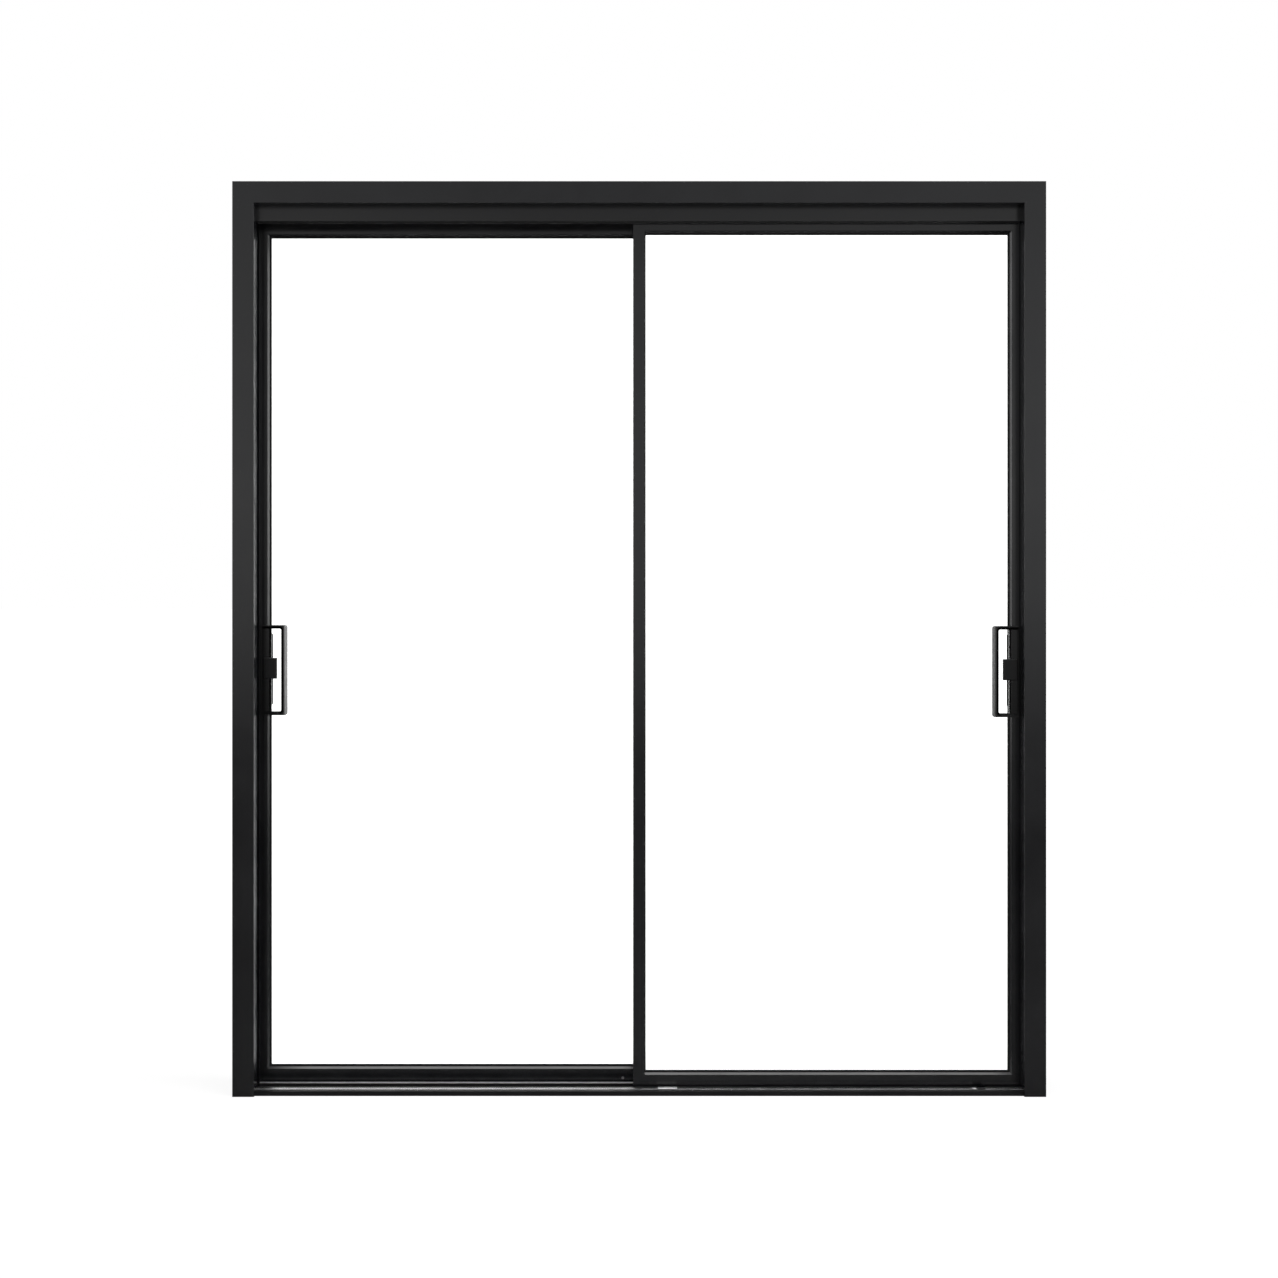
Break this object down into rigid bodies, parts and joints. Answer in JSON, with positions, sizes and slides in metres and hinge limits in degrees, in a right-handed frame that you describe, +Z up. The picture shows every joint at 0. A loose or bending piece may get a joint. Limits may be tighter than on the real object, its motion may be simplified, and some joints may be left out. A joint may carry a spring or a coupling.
{
  "type": "two-panel sliding glass door",
  "caption": "Black framed sliding glass door with two bypassing panels, a wide casing, a low sill and mirrored loop pulls with thumb latches.",
  "frame": {"origin": "centre of the flat underside of the sill, midway through the depth of the frame", "axes": "+X to the right along the wall seen from the front, +Y from the front face into the wall, +Z up"},
  "size_m": [1.8, 0.124, 2.025],
  "materials": {
    "powder_coat": "satin powder coat",
    "sill_coat": "satin powder coat, polished by shoes",
    "handle_coat": "semi-gloss powder coat",
    "track_metal": "rolled, worn bright",
    "tread_metal": "clear anodised, satin",
    "keeper_metal": "plain",
    "clear_glass": "clear float glass",
    "seal_rubber": "matt black gasket",
    "guide_plastic": "moulded black nylon"
  },
  "bodies": {
    "frame": {"casing_head": "powder_coat", "casing_left": "powder_coat", "casing_right": "powder_coat", "head_channel": "powder_coat", "head_fascia": "powder_coat", "jamb_left": "powder_coat", "jamb_right": "powder_coat", "sill": "sill_coat", "tread_front": "tread_metal", "tread_middle": "tread_metal", "track_front": "track_metal", "track_rear": "track_metal", "keeper_left": "keeper_metal", "keeper_right": "keeper_metal"},
    "right_panel": {"right_lock_stile": "powder_coat", "right_meeting_stile": "powder_coat", "right_top_rail": "powder_coat", "right_bottom_rail": "powder_coat", "right_bead_front": "powder_coat", "right_bead_rear": "powder_coat", "right_glass": "clear_glass", "right_gasket": "seal_rubber", "right_roller_housing_inner": "guide_plastic", "right_roller_housing_outer": "guide_plastic", "right_roller_wheel_inner": "track_metal", "right_roller_wheel_outer": "track_metal", "right_guide_inner": "guide_plastic", "right_guide_outer": "guide_plastic", "right_handle": "handle_coat", "right_pull_plate": "handle_coat"},
    "right_latch": {"right_latch": "handle_coat"},
    "left_panel": {"left_lock_stile": "powder_coat", "left_meeting_stile": "powder_coat", "left_top_rail": "powder_coat", "left_bottom_rail": "powder_coat", "left_bead_front": "powder_coat", "left_bead_rear": "powder_coat", "left_glass": "clear_glass", "left_gasket": "seal_rubber", "left_roller_housing_inner": "guide_plastic", "left_roller_housing_outer": "guide_plastic", "left_roller_wheel_inner": "track_metal", "left_roller_wheel_outer": "track_metal", "left_guide_inner": "guide_plastic", "left_guide_outer": "guide_plastic", "left_handle": "handle_coat", "left_pull_plate": "handle_coat"},
    "left_latch": {"left_latch": "handle_coat"}
  },
  "joints": [
    {"name": "right_panel_slide", "type": "slide", "parent": "frame", "child": "right_panel", "axis": [-1, 0, 0], "range_m": [0, 0.77]},
    {"name": "right_latch_slide", "type": "slide", "parent": "right_panel", "child": "right_latch", "axis": [0, 0, 1], "range_m": [0, 0.014]},
    {"name": "left_panel_slide", "type": "slide", "parent": "frame", "child": "left_panel", "axis": [1, 0, 0], "range_m": [0, 0.77]},
    {"name": "left_latch_slide", "type": "slide", "parent": "left_panel", "child": "left_latch", "axis": [0, 0, 1], "range_m": [0, 0.014]}
  ]
}
